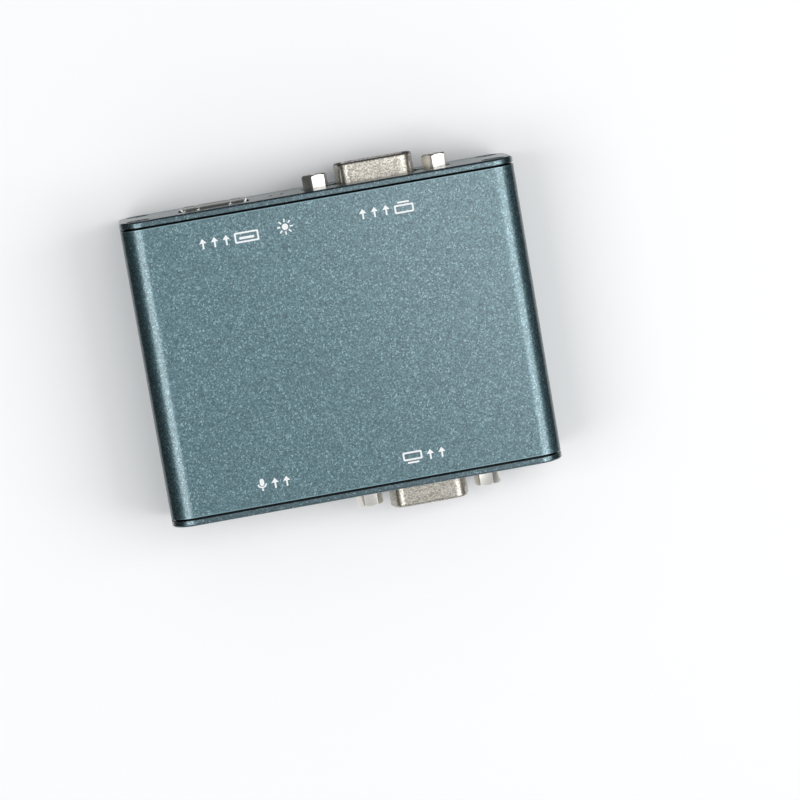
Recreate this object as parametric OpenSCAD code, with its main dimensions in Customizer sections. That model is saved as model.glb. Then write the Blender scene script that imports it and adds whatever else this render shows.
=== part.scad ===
// Video capture box: an extruded aluminium sleeve, two screwed end plates and a circuit board
// whose ports hang from its lower side. Millimetres, +Z up, +Y towards the output end,
// origin in the middle of the underside.

/* [Case] */
// Width of the sleeve, side to side
case_w = 81.5; // [78:0.5:100]
// Height of the sleeve, underside to top face
case_h = 22; // [21:0.5:30]
// Length of the sleeve between the end plates
sleeve_l = 60; // [58:1:90]
// Outside radius of the sleeve's long corners
corner_r = 5; // [4.5:0.5:6]
// Thickness of the sleeve's walls
wall = 1.5; // [1.2:0.1:1.8]
// Thickness of each end plate
plate_t = 1.6; // [1.4:0.1:2]
// Chamfer round the outer edge of each end plate
plate_chamfer = 0.3; // [0.1:0.05:0.4]
// Width of the shadow groove between a plate and the sleeve
groove_w = 0.35; // [0.2:0.05:0.5]
// Depth of the shadow groove
groove_d = 0.4; // [0.1:0.05:0.4]

/* [Plate screws] */
// Distance of each screw from the side and from the top or bottom face
screw_inset = 4; // [3.8:0.1:4.3]
// Diameter of the screw's shank
screw_d = 2.6; // [2.2:0.1:2.8]
// Length of the screw from its face to its point
screw_l = 8; // [6:0.5:12]
// Diameter of the countersunk head at its face
screw_head_d = 4.4; // [4:0.1:4.6]
// Height of the head
screw_head_h = 0.9; // [0.8:0.05:1]
// Distance of the head's face below the face of the plate
screw_sink = 0.15; // [0.05:0.05:0.2]
// Width of each arm of the cross recess
recess_w = 0.75; // [0.5:0.05:1]
// Length of the cross recess from end to end
recess_l = 2.5; // [2:0.1:3]
// Depth of the cross recess
recess_depth = 0.5; // [0.3:0.05:0.6]
// Clearance round the head and the shank in the end plate
screw_clear = 0.2; // [0.1:0.05:0.4]
// Clearance round the shank in the screw channel
channel_clear = 0.04; // [0.03:0.01:0.1]
// Width of the open side of each screw channel
channel_slit = 0.6; // [0.4:0.1:1]

/* [Board] */
// Depth of the board's upper side below the top face
board_drop = 3.6; // [3.4:0.1:4.6]
// Thickness of the board
board_t = 1.6; // [1.2:0.1:2]
// Radius of the board's corners
board_r = 1; // [0.5:0.1:2]
// Gap between the board's ends and the end plates
board_end_gap = 0.5; // [0.3:0.1:1]
// Gap between the board and its slots
slot_gap = 0.1; // [0.05:0.05:0.3]
// Gap between the board's edges and the screw channels
board_side_gap = 0.3; // [0.2:0.1:1]
// Thickness of the fins above and below the board's edges
fin_t = 1; // [0.8:0.1:1.4]
// Width of board that the fins grip
fin_grip = 1.4; // [1:0.1:2]
// Reach of the soldered tails past the board
tail_reach = 1.2; // [0.8:0.1:1.6]
// Gap round a tail in its drilled hole
tail_clear = 0.15; // [0.1:0.05:0.25]

/* [Video ports] */
// Position of both video ports to the right of the middle
port_x = 12.9; // [11:0.1:15]
// Distance of the output port's flange behind its end plate
out_port_set = 0.95; // [0.5:0.05:0.95]
// Distance of the input port's flange behind its end plate
in_port_set = 0; // [0:0.05:0.5]
// Height of a port's axis off the board
port_rise = 6.4; // [6.4:0.1:6.8]
// Width of the D-shaped shell at its wide side
shell_w = 16.33; // [16:0.01:16.6]
// Height of the shell
shell_h = 7.9; // [7.7:0.1:8.2]
// Slope of the shell's short sides, in degrees
shell_slope = 10; // [8:1:12]
// Outside radius of the shell's corners
shell_r = 2.6; // [2.2:0.1:3]
// Reach of the shell beyond its flange
shell_reach = 6.6; // [6:0.1:6.8]
// Depth of the rounded rim of the shell
rim_r = 0.5; // [0.3:0.05:0.6]
// Thickness of the shell's sheet
sheet_t = 0.45; // [0.35:0.05:0.5]
// Width of the lip turned in at the mouth
lip_w = 0.75; // [0.7:0.05:0.9]
// Thickness of that lip
lip_t = 0.55; // [0.4:0.05:0.55]
// Width of the flange
flange_w = 30.8; // [30.4:0.1:31.2]
// Height of the flange
flange_h = 12.5; // [12:0.1:12.6]
// Radius of the flange's corners
flange_r = 1.8; // [1:0.1:2.5]
// Thickness of the flange
flange_t = 0.5; // [0.4:0.05:0.7]
// Clearance round the shell in the end plate
port_clear = 0.9; // [0.6:0.1:1]
// Height of the slot that joins the D-shaped cut-out to the jackscrew holes
port_slot_h = 4; // [3:0.1:5]
// Distance of the insulator's front behind the shell's mouth
insulator_set = 0.7; // [0.6:0.1:1.2]
// Depth of the insulator's rear block
block_l = 7; // [6:0.1:7.4]
// Width of the insulator's rear block
block_w = 19.6; // [18:0.1:20]
// Gap between fitted pieces of a port
port_fit = 0.05; // [0.03:0.01:0.1]
// Thickness of the rear bracket
bracket_t = 0.7; // [0.5:0.1:0.9]

/* [Port contacts] */
// Spacing of the contacts along a row
contact_pitch = 2.29; // [2.25:0.01:2.3]
// Spacing of the contact rows
row_pitch = 1.98; // [1.9:0.01:2]
// Diameter of a contact's socket
contact_d = 0.95; // [0.9:0.05:1.1]
// Diameter of the bore that takes a pin
contact_bore = 0.7; // [0.6:0.05:0.76]
// Depth of the bore that takes a pin
contact_bore_l = 4; // [3:0.1:5]
// Distance of the sockets behind the insulator's face
contact_set = 0.6; // [0.4:0.1:1]
// Diameter of a contact's tail
tail_d = 0.6; // [0.5:0.05:0.7]
// Distance of the first row of tails behind the insulator's block
tail_set = 1; // [0.6:0.1:1.4]
// Spacing of the rows of tails
tail_pitch = 2.54; // [2.3:0.02:2.6]

/* [Jackscrews] */
// Distance between the two jackscrews of a port
jack_pitch = 24.99; // [24.9:0.01:25.1]
// Width of a jackscrew across its flats
jack_af = 4.76; // [4.5:0.02:5]
// Length of the hexagon
jack_l = 5.3; // [4.8:0.1:6]
// Diameter of the tapped hole
jack_bore = 2.4; // [2.3:0.02:2.6]
// Depth of the tapped hole
jack_bore_l = 4.6; // [3.6:0.1:4.7]
// Chamfer on the corners of the hexagon's outer end
jack_chamfer = 0.35; // [0.2:0.05:0.5]
// Diameter of the stud behind the hexagon
jack_stud_d = 2.7; // [2.5:0.05:2.8]
// Length of the stud
jack_stud_l = 4.6; // [3.5:0.1:5]
// Clearance round the stud in the shell's flange
stud_clear = 0.15; // [0.1:0.05:0.25]
// Diameter of the hole for a jackscrew in the end plate
jack_hole_d = 6.4; // [6.2:0.1:6.6]
// Diameter of the nut riveted to the bracket
nut_d = 4.8; // [4.4:0.1:5.2]
// Length of that nut
nut_l = 4.2; // [3.6:0.1:4.8]
// Width of the board lock under each nut
lock_w = 2.2; // [1.8:0.1:2.4]
// Thickness of the board lock
lock_t = 0.6; // [0.4:0.1:0.8]
// Depth of the lock's root in the nut
lock_root = 0.6; // [0.4:0.1:0.8]
// Width of the slit that splits the lock's tip
lock_slit = 0.5; // [0.3:0.1:0.7]
// Turn of the output port's two jackscrews, in degrees
out_jack_turns = [18, 16]; // [-30:1:30]
// Turn of the input port's two jackscrews, in degrees
in_jack_turns = [-3, 11]; // [-30:1:30]

/* [Data port] */
// Position of the data port to the right of the middle
data_x = -21; // [-21.5:0.5:-20]
// Height of the data port's centre off the board
data_rise = 3.8; // [3.6:0.1:4.2]
// Width of the data port's shell
data_w = 13.1; // [12.9:0.1:13.3]
// Height of the data port's shell
data_h = 5.72; // [5.6:0.02:5.8]
// Radius of the shell's corners
data_r = 0.6; // [0.5:0.1:0.8]
// Thickness of the shell's sheet
data_sheet_t = 0.3; // [0.25:0.05:0.35]
// Length of the shell behind the end plate
data_l = 11.5; // [11:0.1:13]
// Reach of the shell's flared lips beyond the end plate
data_proud = 0.6; // [0.5:0.1:1]
// Length of the flared lips
flare_l = 0.8; // [0.6:0.1:1]
// Outward lean of the flared lips over their length
flare_out = 0.45; // [0.3:0.05:0.6]
// Width of each outer lip of the long sides
lip_end_w = 2.4; // [2:0.1:2.6]
// Width of the middle lip of the long sides
lip_mid_w = 6; // [5:0.1:6.4]
// Width of the lips of the short sides
lip_side_w = 3; // [2:0.1:3.6]
// Clearance round the lips in the end plate
data_clear = 0.3; // [0.2:0.1:0.5]
// Thickness of the tongue
tongue_t = 1.84; // [1.8:0.02:1.9]
// Width of the tongue
tongue_w = 11.1; // [10.8:0.1:11.2]
// Gap between the tongue and the shell's side away from the board
tongue_gap = 0.72; // [0.6:0.02:0.8]
// Distance of the tongue's tip behind the lips
tongue_set = 1.6; // [1.2:0.1:2.5]
// Length of the housing's rear block
data_block_l = 2.8; // [2:0.1:3]
// Width of the shell's board legs
data_leg_w = 1.6; // [1.2:0.1:2]
// Width of a data contact
data_contact_w = 1; // [0.8:0.05:1.1]
// Thickness of a data contact
data_contact_t = 0.25; // [0.2:0.05:0.3]
// Distance of the contacts' tips behind the tongue's tip
data_contact_set = 0.7; // [0.5:0.1:1]
// Distance of the contacts' tails behind the shell
data_tail_set = 0.8; // [0.6:0.1:1.2]
// Spacing of the inner pair of data contacts
data_inner_pitch = 2; // [1.9:0.1:2.1]
// Spacing of the outer pair of data contacts
data_outer_pitch = 7; // [6.8:0.1:7.2]

/* [Microphone jack] */
// Position of the jack to the right of the middle
mic_x = -19; // [-21:0.5:-17]
// Height of the jack's axis off the board
mic_rise = 3.9; // [3.8:0.1:4.5]
// Diameter of the bore for the plug
mic_bore = 3.6; // [3.55:0.01:3.7]
// Depth of the bore behind the mouth
mic_bore_l = 14; // [12:0.5:14]
// Diameter of the nose in the end plate
mic_nose_d = 6; // [5.6:0.1:7]
// Reach of the nose beyond the end plate
mic_proud = 0.5; // [0:0.1:1]
// Width of the jack's body
mic_w = 8; // [7:0.1:9]
// Height of the jack's body
mic_h = 7.4; // [7.2:0.1:8]
// Length of the jack's body
mic_l = 13; // [13:0.1:15]
// Clearance round the nose in the end plate
mic_clear = 0.15; // [0.1:0.05:0.3]
// Width of each contact spring
spring_w = 1.8; // [1.4:0.1:2]
// Thickness of each contact spring
spring_t = 0.3; // [0.2:0.05:0.35]
// Reach of each contact spring past the bore's axis
spring_reach = 1.1; // [0.8:0.1:1.4]
// Gap round a spring in its slot
spring_clear = 0.1; // [0.05:0.05:0.15]

/* [Indicator lamp] */
// Position of the lamp to the right of the middle
lamp_x = -8; // [-9:0.5:-7]
// Height of the lamp's axis off the board
lamp_rise = 4.6; // [4:0.1:6]
// Diameter of the lens
lamp_d = 3; // [2.9:0.05:3.1]
// Diameter of the rim behind the lens
lamp_rim_d = 3.8; // [3.6:0.1:4]
// Thickness of the rim
lamp_rim_t = 1; // [0.8:0.1:1.2]
// Distance of the rim behind the end plate
lamp_rim_set = 1.6; // [1.2:0.1:2.5]
// Reach of the lens beyond the end plate
lamp_proud = 0.3; // [0.1:0.1:1]
// Clearance round the lens in the end plate
lamp_clear = 0.1; // [0.1:0.05:0.3]
// Spacing of the lamp's two leads
lead_pitch = 2.54; // [2.4:0.02:2.6]
// Diameter of the lamp's leads
lead_d = 0.5; // [0.4:0.05:0.6]
// Distance from the rim to the bend in the leads
lead_run = 3; // [2:0.1:5]

/* [Board parts] */
// Distance of the outer rows of parts from the board's side edges
side_inset = 5.2; // [5:0.1:5.6]
// Place of the video chip, in shares of the board's half width and half length
video_chip_at = [0.27, 0]; // [-0.6:0.01:0.6]
// Side of the video chip's square body
video_chip_w = 10; // [9:0.5:11]
// Height of the video chip's body
video_chip_h = 1.4; // [1.2:0.1:1.6]
// Number of leads on each side of the video chip
video_chip_pins = 16; // [12:1:18]
// Spacing of the video chip's leads
fine_pitch = 0.5; // [0.4:0.05:0.5]
// Width of the video chip's leads
fine_lead_w = 0.22; // [0.15:0.01:0.25]
// Place of the data chip, in the same shares
data_chip_at = [-0.36, 0.1]; // [-0.6:0.01:0.6]
// Side of the data chip's square body
data_chip_w = 7; // [6:0.5:8]
// Height of the data chip
data_chip_h = 0.9; // [0.8:0.1:1.2]
// Place of the memory chip, in the same shares
memory_at = [-0.33, -0.26]; // [-0.6:0.01:0.6]
// Length of the memory chip's body
memory_l = 5; // [4.8:0.1:5.4]
// Width of the memory chip's body
memory_w = 4; // [3.8:0.1:5]
// Height of the memory chip's body
memory_h = 1.5; // [1.3:0.1:1.7]
// Spacing of the memory chip's leads
coarse_pitch = 1.27; // [1.2:0.01:1.3]
// Width of the memory chip's leads
coarse_lead_w = 0.42; // [0.3:0.02:0.5]
// Standoff of the leaded chips above the board
chip_standoff = 0.1; // [0.05:0.05:0.2]
// Thickness of a chip lead
chip_lead_t = 0.15; // [0.1:0.01:0.2]
// Reach of a chip lead from the body
chip_lead_l = 1; // [0.8:0.05:1.1]
// Places of the two crystal cans, in the same shares
crystal_at = [[0.59, -0.17], [-0.63, 0.19]]; // [-0.63:0.01:0.63]
// Length of a crystal can
crystal_l = 5; // [4.6:0.1:5.4]
// Width of a crystal can
crystal_w = 3.2; // [3:0.1:3.4]
// Height of a crystal can
crystal_h = 1.2; // [1:0.1:1.6]
// Radius of a crystal can's corners
crystal_r = 0.6; // [0.4:0.1:0.8]
// Places of the two regulators along the left row, in shares of the board's half length
regulator_row = [-0.3, 0.03]; // [-0.4:0.01:0.4]
// Width of a regulator's body
regulator_w = 6.5; // [6.2:0.1:6.7]
// Depth of a regulator's body
regulator_l = 3.5; // [3.3:0.1:3.7]
// Height of a regulator's body
regulator_h = 1.6; // [1.4:0.1:1.8]
// Spacing of a regulator's three leads
regulator_pitch = 2.3; // [2.2:0.1:2.4]
// Width of a regulator's leads
regulator_lead_w = 0.7; // [0.6:0.05:0.8]
// Width of the tab across the back of a regulator
regulator_tab_w = 3; // [2.8:0.1:3.2]
// Places of the three electrolytic capacitors along the right row, in the same shares
capacitor_row = [-0.29, 0, 0.29]; // [-0.4:0.01:0.4]
// Diameter of a capacitor's can
can_d = 6.3; // [5:0.1:6.4]
// Height of a capacitor's can
can_h = 5.4; // [4:0.1:8]
// Depth of the groove rolled round a can
can_groove = 0.3; // [0.2:0.05:0.4]
// Side of a capacitor's square base
can_base_w = 6.6; // [6.5:0.1:7]
// Thickness of a capacitor's base
can_base_h = 0.9; // [0.7:0.1:1.2]
// Place of the first power inductor along the left row, in the same shares
inductor_row = 0.36; // [0.3:0.01:0.4]
// Place of the second power inductor, in shares of the board's half width and half length
inductor_at = [0.59, 0.17]; // [-0.6:0.01:0.6]
// Side of an inductor's square body
inductor_w = 5; // [4:0.1:5.2]
// Height of an inductor
inductor_h = 2.5; // [2:0.1:4]
// Diameter of an inductor's round core
inductor_core_d = 3.6; // [3:0.1:3.8]
// Width and depth of the groove round the core
inductor_groove = 0.3; // [0.2:0.05:0.4]
// Radius of an inductor's corners
inductor_r = 0.6; // [0.4:0.1:0.8]
// Length of a small chip part
passive_l = 1.6; // [1.4:0.1:1.8]
// Width of a small chip part
passive_w = 0.8; // [0.6:0.1:1]
// Height of a small chip part
passive_h = 0.6; // [0.5:0.1:0.8]
// Spacing of the small chip parts along a row
passive_pitch = 1.8; // [1.6:0.1:1.9]
// Places of the middles of the two rows of small chip parts, in the same shares
passive_rows = [[0.27, -0.3], [0.27, 0.3]]; // [-0.4:0.01:0.4]
// Number of small chip parts in a row
passive_count = 7; // [3:1:7]

/* [Hidden] */
$fn = 48;
through = 1;
board_top = case_h - board_drop;
board_z = board_top - board_t;
boss_r = screw_inset - wall / 2;
channel_d = screw_d + 2 * channel_clear;
screw_hole_d = screw_d + 2 * screw_clear;
screw_sink_d = screw_head_d + 2 * screw_clear;
board_w = case_w - 2 * (screw_inset + boss_r + board_side_gap);
board_l = sleeve_l - 2 * board_end_gap;
side_row = 1 - 2 * side_inset / board_w;
side_sink = 0.003;
shell_cx = shell_w / 2 - shell_r;
shell_cz = shell_h / 2 - shell_r;
shell_bx = shell_cx - 2 * shell_cz * tan(shell_slope);
bracket_y = -flange_t - bracket_t;
block_y = bracket_y - block_l;
insulator_front = shell_reach - insulator_set;
contact_front = insulator_front - contact_set;
jack_x = jack_pitch / 2;
lock_y = bracket_y - nut_l / 2;
data_front = plate_t + data_proud;
flare_y = data_front - flare_l;
tongue_z = data_rise + data_h / 2 - data_sheet_t - tongue_gap - tongue_t;
data_leg_l = data_rise + board_t + tail_reach;
data_block_front = data_block_l - data_l;
data_contact_front = data_front - tongue_set - data_contact_set;
data_contact_x = [-data_outer_pitch / 2, -data_inner_pitch / 2, data_inner_pitch / 2, data_outer_pitch / 2];
data_tail_y = -data_l - data_tail_set;
mic_front = plate_t + mic_proud;
spring_x = mic_bore / 2 + port_fit;
spring_at = [[1, -0.77 * mic_l], [-1, -0.5 * mic_l], [1, -0.23 * mic_l]];
lamp_tip = plate_t + lamp_proud;
lead_y = -lamp_rim_set - lamp_rim_t - lead_run;
case_colour = [0.36, 0.47, 0.5];
nickel = [0.8, 0.78, 0.74];
tin = [0.75, 0.75, 0.76];
gold = [0.85, 0.68, 0.3];
black = [0.08, 0.08, 0.09];

// Extrusion of a flat outline, drawn across the case, from y0 to y1
module along(y0, y1) {
    translate([0, y1, 0])
        rotate([90, 0, 0])
            linear_extrude(y1 - y0)
                children();
}

// Round bar along the case from y0 to y1
module bar(y0, y1, d) {
    translate([0, y0, 0])
        rotate([-90, 0, 0])
            cylinder(h = y1 - y0, d = d);
}

module rounded_rect(w, h, r) {
    square([w - 2 * r, h], center = true);
    square([w, h - 2 * r], center = true);
    for (x = [-1, 1], y = [-1, 1])
        translate([x * (w / 2 - r), y * (h / 2 - r)])
            circle(r);
}

// Slab with its upper outer edge chamfered
module chamfered_slab(w, h, r, t, c) {
    for (x = [-1, 1], y = [-1, 1])
        translate([x * (w / 2 - r), y * (h / 2 - r), 0]) {
            cylinder(h = t - c, r = r);
            translate([0, 0, t - c])
                cylinder(h = c, r1 = r, r2 = r - c);
        }
    rotate([90, 0, 90])
        linear_extrude(w - 2 * r, center = true)
            chamfered_section(h, t, c);
    rotate([90, 0, 0])
        linear_extrude(h - 2 * r, center = true)
            chamfered_section(w, t, c);
}

module chamfered_section(w, t, c) {
    polygon([[-w / 2, 0], [w / 2, 0], [w / 2, t - c], [w / 2 - c, t], [-w / 2 + c, t], [-w / 2, t - c]]);
}

module case_outline(inset) {
    translate([0, case_h / 2])
        rounded_rect(case_w - 2 * inset, case_h - 2 * inset, corner_r - inset);
}

// The four screw places of an end, in the case's cross-section
module at_screws() {
    for (x = [-1, 1], z = [-1, 1])
        translate([x * (case_w / 2 - screw_inset), case_h / 2 + z * (case_h / 2 - screw_inset)])
            children();
}

// Places on the board's lower side: z leads away from the board, y out of the case
module at_rear(x) {
    translate([x, sleeve_l / 2, board_z])
        rotate([0, 180, 0])
            children();
}

module at_front(x) {
    translate([x, -sleeve_l / 2, board_z])
        rotate([180, 0, 0])
            children();
}

module at_out_port() {
    at_rear(port_x)
        translate([0, -out_port_set, 0])
            children();
}

module at_in_port() {
    at_front(port_x)
        translate([0, -in_port_set, 0])
            children();
}

// Places on the board's lower side, in shares of its half width and half length
module on_board(at) {
    translate([at[0] * board_w / 2, at[1] * board_l / 2, board_z])
        rotate([0, 180, 0])
            children();
}

// Round hole right through the board
module drill(d) {
    translate([0, 0, -board_t - through])
        cylinder(h = board_t + 2 * through, d = d);
}

// Extruded tube with four screw channels and a pair of board slots
module sleeve_section() {
    difference() {
        case_outline(0);
        difference() {
            case_outline(wall);
            at_screws()
                circle(boss_r);
            for (x = [-1, 1], z = [board_z - slot_gap - fin_t / 2, board_top + slot_gap + fin_t / 2])
                translate([x * case_w / 2, z])
                    square([case_w - board_w + 2 * fin_grip, fin_t], center = true);
        }
        at_screws()
            circle(d = channel_d);
        for (x = [-1, 1], z = [-1, 1])
            translate([x * (case_w / 2 - screw_inset - boss_r / 2),
                case_h / 2 + z * (case_h / 2 - screw_inset)])
                square([boss_r + channel_slit, channel_slit], center = true);
    }
}

module sleeve() {
    color(case_colour)
        along(-sleeve_l / 2, sleeve_l / 2)
            sleeve_section();
}

// Plate with a stepped inner edge that leaves a shadow groove next to the sleeve
module plate_blank() {
    difference() {
        union() {
            linear_extrude(plate_t - plate_chamfer)
                rounded_rect(case_w - 2 * groove_d, case_h - 2 * groove_d, corner_r - groove_d);
            translate([0, 0, groove_w])
                chamfered_slab(case_w, case_h, corner_r, plate_t - groove_w, plate_chamfer);
        }
        for (x = [-1, 1], y = [-1, 1])
            translate([x * (case_w / 2 - screw_inset), y * (case_h / 2 - screw_inset), plate_t - screw_sink]) {
                translate([0, 0, -plate_t - through])
                    cylinder(h = plate_t + through, d = screw_hole_d);
                translate([0, 0, -screw_head_h])
                    cylinder(h = screw_head_h, d1 = screw_hole_d, d2 = screw_sink_d);
                cylinder(h = screw_sink + through, d = screw_sink_d);
            }
    }
}

// Cut-out for a video port and its jackscrews
module port_cut() {
    translate([0, 0, port_rise])
        along(-through, plate_t + out_port_set + through) {
            d_outline(-port_clear);
            square([jack_pitch, port_slot_h], center = true);
            for (x = [-1, 1])
                translate([x * jack_x, 0])
                    circle(d = jack_hole_d);
        }
}

module rear_plate() {
    color(case_colour)
        difference() {
            translate([0, sleeve_l / 2, case_h / 2])
                rotate([-90, 0, 0])
                    plate_blank();
            at_out_port()
                port_cut();
            at_rear(data_x)
                translate([0, 0, data_rise])
                    along(-through, plate_t + through)
                        rounded_rect(data_w + 2 * (flare_out + data_clear),
                            data_h + 2 * (flare_out + data_clear), data_r);
            at_rear(lamp_x)
                translate([0, 0, lamp_rise])
                    bar(-through, plate_t + through, lamp_d + 2 * lamp_clear);
        }
}

module front_plate() {
    color(case_colour)
        difference() {
            translate([0, -sleeve_l / 2, case_h / 2])
                rotate([90, 0, 0])
                    plate_blank();
            at_in_port()
                port_cut();
            at_front(mic_x)
                translate([0, 0, mic_rise])
                    bar(-through, plate_t + through, mic_nose_d + 2 * mic_clear);
        }
}

// Countersunk screw with a cross recess, its face at z = 0
module plate_screw() {
    difference() {
        translate([0, 0, -screw_head_h])
            cylinder(h = screw_head_h, d1 = screw_d, d2 = screw_head_d);
        for (turn = [0, 90])
            rotate([0, 0, turn])
                cube([recess_l, recess_w, 2 * recess_depth], center = true);
    }
    translate([0, 0, screw_d / 2 - screw_l])
        cylinder(h = screw_l - screw_d / 2 - screw_head_h, d = screw_d);
    translate([0, 0, -screw_l])
        cylinder(h = screw_d / 2, d1 = screw_d / 3, d2 = screw_d);
}

module four_screws() {
    for (x = [-1, 1], y = [-1, 1])
        translate([x * (case_w / 2 - screw_inset), y * (case_h / 2 - screw_inset), plate_t - screw_sink])
            plate_screw();
}

module rear_plate_screws() {
    color(black)
        translate([0, sleeve_l / 2, case_h / 2])
            rotate([-90, 0, 0])
                four_screws();
}

module front_plate_screws() {
    color(black)
        translate([0, -sleeve_l / 2, case_h / 2])
            rotate([90, 0, 0])
                four_screws();
}

// Drilled holes for one video port
module port_drills() {
    for (row = [0, 1, 2], col = [0, 1, 2, 3, 4])
        translate([contact_x(row, col), tail_y(row), 0])
            drill(tail_d + 2 * tail_clear);
    for (x = [-1, 1])
        translate([x * jack_x, lock_y, 0])
            drill(lock_w + lock_t);
}

module main_board() {
    color([0.06, 0.3, 0.16])
        difference() {
            translate([0, 0, board_z])
                linear_extrude(board_t)
                    rounded_rect(board_w, board_l, board_r);
            at_out_port()
                port_drills();
            at_in_port()
                port_drills();
            at_rear(data_x) {
                for (x = data_contact_x)
                    translate([x, data_tail_y, 0])
                        drill(data_contact_w + 2 * tail_clear);
                for (x = [-1, 1])
                    translate([x * (data_w - data_sheet_t) / 2, -data_l / 2, 0])
                        drill(norm([data_leg_w, data_sheet_t]) + 2 * tail_clear);
            }
            at_front(mic_x)
                for (at = spring_at)
                    translate([at[0] * (spring_x + spring_t / 2), at[1], 0])
                        drill(spring_w + 2 * tail_clear);
            at_rear(lamp_x)
                for (x = [-1, 1])
                    translate([x * lead_pitch / 2, lead_y, 0])
                        drill(lead_d + 2 * tail_clear);
        }
}

// D-shaped outline, its wide side away from the board; its corners stand a hair proud of its sides
module d_outline(inset) {
    r = shell_r - inset;
    flat = r - side_sink;
    side = [flat * cos(shell_slope), -flat * sin(shell_slope)];
    polygon([[shell_cx, shell_cz + flat], [shell_cx, shell_cz] + side, [shell_bx, -shell_cz] + side,
        [shell_bx, -shell_cz - flat], [-shell_bx, -shell_cz - flat],
        [-shell_bx - side[0], -shell_cz + side[1]],
        [-shell_cx - side[0], shell_cz + side[1]], [-shell_cx, shell_cz + flat]]);
    for (x = [-1, 1]) {
        translate([x * shell_cx, shell_cz])
            circle(r);
        translate([x * shell_bx, -shell_cz])
            circle(r);
    }
}

// Section of the shell's rounded rim, out from the middle of a corner
module rim_section() {
    square([shell_r - rim_r, rim_r]);
    translate([shell_r - rim_r, 0])
        intersection() {
            circle(rim_r);
            square(rim_r);
        }
}

// The rounded rim as a solid layer: the section turned at the corners and run along the sides
module shell_rim() {
    corners = [[shell_cx, shell_cz], [shell_bx, -shell_cz], [-shell_bx, -shell_cz], [-shell_cx, shell_cz]];
    rotate([90, 0, 0])
        mirror([0, 0, 1]) {
            linear_extrude(rim_r)
                polygon(corners);
            for (i = [0:3]) {
                side = corners[(i + 1) % 4] - corners[i];
                translate(corners[i]) {
                    rotate_extrude()
                        rim_section();
                    rotate([0, 0, atan2(side[1], side[0])])
                        translate([0, -side_sink, 0])
                            rotate([90, 0, 90])
                                linear_extrude(norm(side))
                                    rim_section();
                }
            }
        }
}

module flange_outline() {
    rounded_rect(flange_w, flange_h, flange_r);
}

function contact_x(row, col) = (col - 2 + (row == 1 ? -0.25 : 0.25)) * contact_pitch;
function contact_z(row) = (row - 1) * row_pitch;
function tail_y(row) = block_y - tail_set - row * tail_pitch;

// Drawn shell with a rolled rim, in one piece with its flange
module port_shell() {
    color(nickel)
        translate([0, 0, port_rise])
            difference() {
                union() {
                    along(-flange_t, 0)
                        flange_outline();
                    along(-flange_t, shell_reach - rim_r)
                        d_outline(0);
                    translate([0, shell_reach - rim_r, 0])
                        shell_rim();
                }
                along(-flange_t - through, shell_reach - lip_t)
                    d_outline(sheet_t);
                along(shell_reach - lip_t - through, shell_reach + through)
                    d_outline(lip_w);
                for (x = [-1, 1])
                    translate([x * jack_x, 0, 0])
                        bar(-flange_t - through, through, jack_stud_d + 2 * stud_clear);
            }
}

// Plate behind the flange with two riveted nuts and two board locks
module port_bracket() {
    color(tin)
        translate([0, 0, port_rise])
            difference() {
                union() {
                    along(bracket_y, -flange_t)
                        flange_outline();
                    for (x = [-1, 1])
                        translate([x * jack_x, 0, 0]) {
                            bar(bracket_y - nut_l, bracket_y, nut_d);
                            translate([-lock_w / 2, lock_y - lock_t / 2, -port_rise - board_t - tail_reach])
                                cube([lock_w, lock_t,
                                    port_rise + board_t + tail_reach - nut_d / 2 + lock_root]);
                        }
                }
                along(bracket_y - through, through)
                    d_outline(sheet_t - port_fit);
                for (x = [-1, 1])
                    translate([x * jack_x, 0, 0]) {
                        bar(bracket_y - nut_l - through, through, jack_stud_d + 2 * port_fit);
                        translate([0, lock_y, -port_rise - board_t - tail_reach])
                            cube([lock_slit, 2 * lock_t, 2 * (board_t + tail_reach)], center = true);
                    }
            }
}

module port_insulator() {
    color([0.07, 0.2, 0.62])
        difference() {
            union() {
                translate([0, 0, port_rise])
                    along(bracket_y, insulator_front)
                        d_outline(sheet_t + port_fit);
                translate([-block_w / 2, block_y, 0])
                    cube([block_w, block_l, port_rise + shell_h / 2]);
            }
            for (row = [0, 1, 2], col = [0, 1, 2, 3, 4])
                translate([contact_x(row, col), 0, port_rise + contact_z(row)])
                    bar(block_y - through, insulator_front + through, contact_d + 2 * port_fit);
        }
}

module port_contacts() {
    color(gold)
        for (row = [0, 1, 2], col = [0, 1, 2, 3, 4])
            translate([contact_x(row, col), 0, port_rise + contact_z(row)]) {
                difference() {
                    bar(block_y, contact_front, contact_d);
                    bar(contact_front - contact_bore_l, contact_front + through, contact_bore);
                }
                bar(tail_y(row), block_y, tail_d);
                translate([0, tail_y(row), 0])
                    sphere(d = tail_d);
                translate([0, tail_y(row), -port_rise - contact_z(row) - board_t - tail_reach])
                    cylinder(h = port_rise + contact_z(row) + board_t + tail_reach, d = tail_d);
            }
}

// Hexagon with a tapped hole outside and a stud inside, seated on the flange
module jackscrew(turn) {
    corner_d = jack_af / cos(30);
    difference() {
        union() {
            rotate([-90, 0, 0])
                intersection() {
                    rotate([0, 0, turn])
                        cylinder(h = jack_l, d = corner_d, $fn = 6);
                    union() {
                        cylinder(h = jack_l - jack_chamfer, d = 1.04 * corner_d);
                        translate([0, 0, jack_l - jack_chamfer])
                            cylinder(h = jack_chamfer, d1 = 1.04 * corner_d, d2 = 0.96 * jack_af);
                    }
                }
            bar(-jack_stud_l, 0, jack_stud_d);
        }
        bar(jack_l - jack_bore_l, jack_l + through, jack_bore);
    }
}

module port_jackscrews(turns) {
    color(nickel)
        for (i = [0, 1])
            translate([(2 * i - 1) * jack_x, 0, port_rise])
                jackscrew(turns[i]);
}

module video_out_shell() {
    at_out_port()
        port_shell();
}

module video_out_bracket() {
    at_out_port()
        port_bracket();
}

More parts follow.
